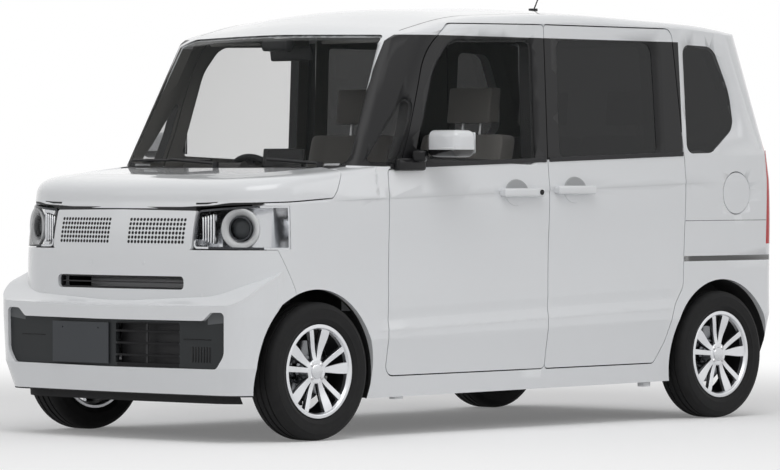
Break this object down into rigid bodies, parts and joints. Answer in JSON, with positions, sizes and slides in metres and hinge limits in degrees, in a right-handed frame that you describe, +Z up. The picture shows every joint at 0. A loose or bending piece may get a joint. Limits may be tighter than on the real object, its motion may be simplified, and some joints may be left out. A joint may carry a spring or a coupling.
{
  "type": "kei car",
  "caption": "Tall boxy kei car with swinging front doors, sliding rear doors, lifting tailgate and bonnet, steered front wheels and a hollow furnished cabin.",
  "frame": {"origin": "on the ground, under the middle of the car's bounding box", "axes": "+Y points to the tail along the length, +X to the car's left side, +Z up"},
  "size_m": [1.86, 3.3948, 1.9515],
  "materials": {
    "body_paint": "gloss white paint",
    "bumper_paint": "gloss white paint on plastic",
    "black_trim": "satin black plastic",
    "grey_trim": "dark grey grained plastic",
    "clear_glass": "lightly tinted safety glass",
    "privacy_glass": "dark privacy glass",
    "lens": "clear lamp cover",
    "red_lens": "red lamp cover",
    "lamp_chrome": "metallised lamp bowl",
    "alloy": "silver painted alloy",
    "tyre": "black rubber",
    "steel": "black coated steel",
    "engine": "cast aluminium",
    "fabric": "grey woven cloth",
    "plate": "plain dark blank plate"
  },
  "bodies": {
    "car_body": {"body_side_left": "body_paint", "body_side_right": "body_paint", "roof_panel": "body_paint", "floor_pan": "body_paint", "firewall": "body_paint", "front_side_rails": "body_paint", "wheel_housings": "alloy", "front_wing_left": "body_paint", "front_wing_right": "body_paint", "front_bumper": "bumper_paint", "grille_panel": "bumper_paint", "upper_intake": "black_trim", "lower_grille": "grey_trim", "front_plate": "plate", "headlamp_housings": "lamp_chrome", "headlamp_lenses": "lens", "cowl_panel": "black_trim", "wipers": "black_trim", "windscreen": "clear_glass", "quarter_windows": "privacy_glass", "sliding_door_left": "body_paint", "sliding_door_right": "body_paint", "sliding_door_glass": "privacy_glass", "rear_bumper": "bumper_paint", "tail_lamps": "red_lens", "dashboard": "grey_trim", "front_seats": "fabric", "rear_seats": "fabric", "engine_block": "engine", "front_subframe": "steel", "rear_axle": "steel", "exhaust": "steel", "roof_aerial": "black_trim"},
    "door_left": {"front_door_left": "body_paint", "front_door_glass_left": "clear_glass", "door_mirror_left": "bumper_paint"},
    "door_right": {"front_door_right": "body_paint", "front_door_glass_right": "clear_glass", "door_mirror_right": "bumper_paint"},
    "bonnet": {"bonnet": "body_paint"},
    "tailgate": {"tailgate": "body_paint", "tailgate_glass": "privacy_glass"},
    "fuel_lid": {"fuel_lid": "body_paint"},
    "steering_wheel": {"steering_wheel": "black_trim"},
    "knuckle_left": {"knuckle_left": "steel"},
    "knuckle_right": {"knuckle_right": "steel"},
    "wheel_front_left": {"wheel_front_left": "alloy", "tyre_front_left": "tyre"},
    "wheel_front_right": {"wheel_front_right": "alloy", "tyre_front_right": "tyre"},
    "wheel_rear_left": {"wheel_rear_left": "alloy", "tyre_rear_left": "tyre"},
    "wheel_rear_right": {"wheel_rear_right": "alloy", "tyre_rear_right": "tyre"}
  },
  "joints": [
    {"name": "door_left_swing", "type": "hinge", "parent": "car_body", "child": "door_left", "pos_m": [0.72, -0.79, 0.7], "axis": [0, 0, -1], "range_deg": [0, 65]},
    {"name": "door_right_swing", "type": "hinge", "parent": "car_body", "child": "door_right", "pos_m": [-0.72, -0.79, 0.7], "axis": [0, 0, 1], "range_deg": [0, 65]},
    {"name": "bonnet_lift", "type": "hinge", "parent": "car_body", "child": "bonnet", "pos_m": [0, -1.072, 1.101], "axis": [-1, 0, 0], "range_deg": [0, 50]},
    {"name": "tailgate_lift", "type": "hinge", "parent": "car_body", "child": "tailgate", "pos_m": [0, 1.546, 1.704], "axis": [1, 0, 0], "range_deg": [0, 80]},
    {"name": "fuel_lid_swing", "type": "hinge", "parent": "car_body", "child": "fuel_lid", "pos_m": [0.736, 1.322, 0.984], "axis": [0, 0, -1], "range_deg": [0, 90]},
    {"name": "steer_left", "type": "hinge", "parent": "car_body", "child": "knuckle_left", "pos_m": [0.596, -1.2075, 0.165], "axis": [-0.1939, 0, 0.981], "range_deg": [-34, 34]},
    {"name": "steer_right", "type": "hinge", "parent": "car_body", "child": "knuckle_right", "pos_m": [-0.596, -1.2075, 0.165], "axis": [0.1939, 0, 0.981], "range_deg": [-34, 34]},
    {"name": "steering_wheel_turn", "type": "hinge", "parent": "car_body", "child": "steering_wheel", "pos_m": [-0.33, -0.48, 0.985], "axis": [0, 0.8829, 0.4695], "range_deg": [-476, 476]},
    {"name": "wheel_front_left_spin", "type": "hinge", "parent": "knuckle_left", "child": "wheel_front_left", "pos_m": [0.6525, -1.2075, 0.2785], "axis": [1, 0, 0], "continuous": true},
    {"name": "wheel_front_right_spin", "type": "hinge", "parent": "knuckle_right", "child": "wheel_front_right", "pos_m": [-0.6525, -1.2075, 0.2785], "axis": [1, 0, 0], "continuous": true},
    {"name": "wheel_rear_left_spin", "type": "hinge", "parent": "car_body", "child": "wheel_rear_left", "pos_m": [0.6525, 1.3125, 0.2785], "axis": [1, 0, 0], "continuous": true},
    {"name": "wheel_rear_right_spin", "type": "hinge", "parent": "car_body", "child": "wheel_rear_right", "pos_m": [-0.6525, 1.3125, 0.2785], "axis": [1, 0, 0], "continuous": true}
  ],
  "couplings": [
    {"joint": "steer_right", "follows": "steer_left", "ratio": 1},
    {"joint": "steering_wheel_turn", "follows": "steer_left", "ratio": 14}
  ]
}
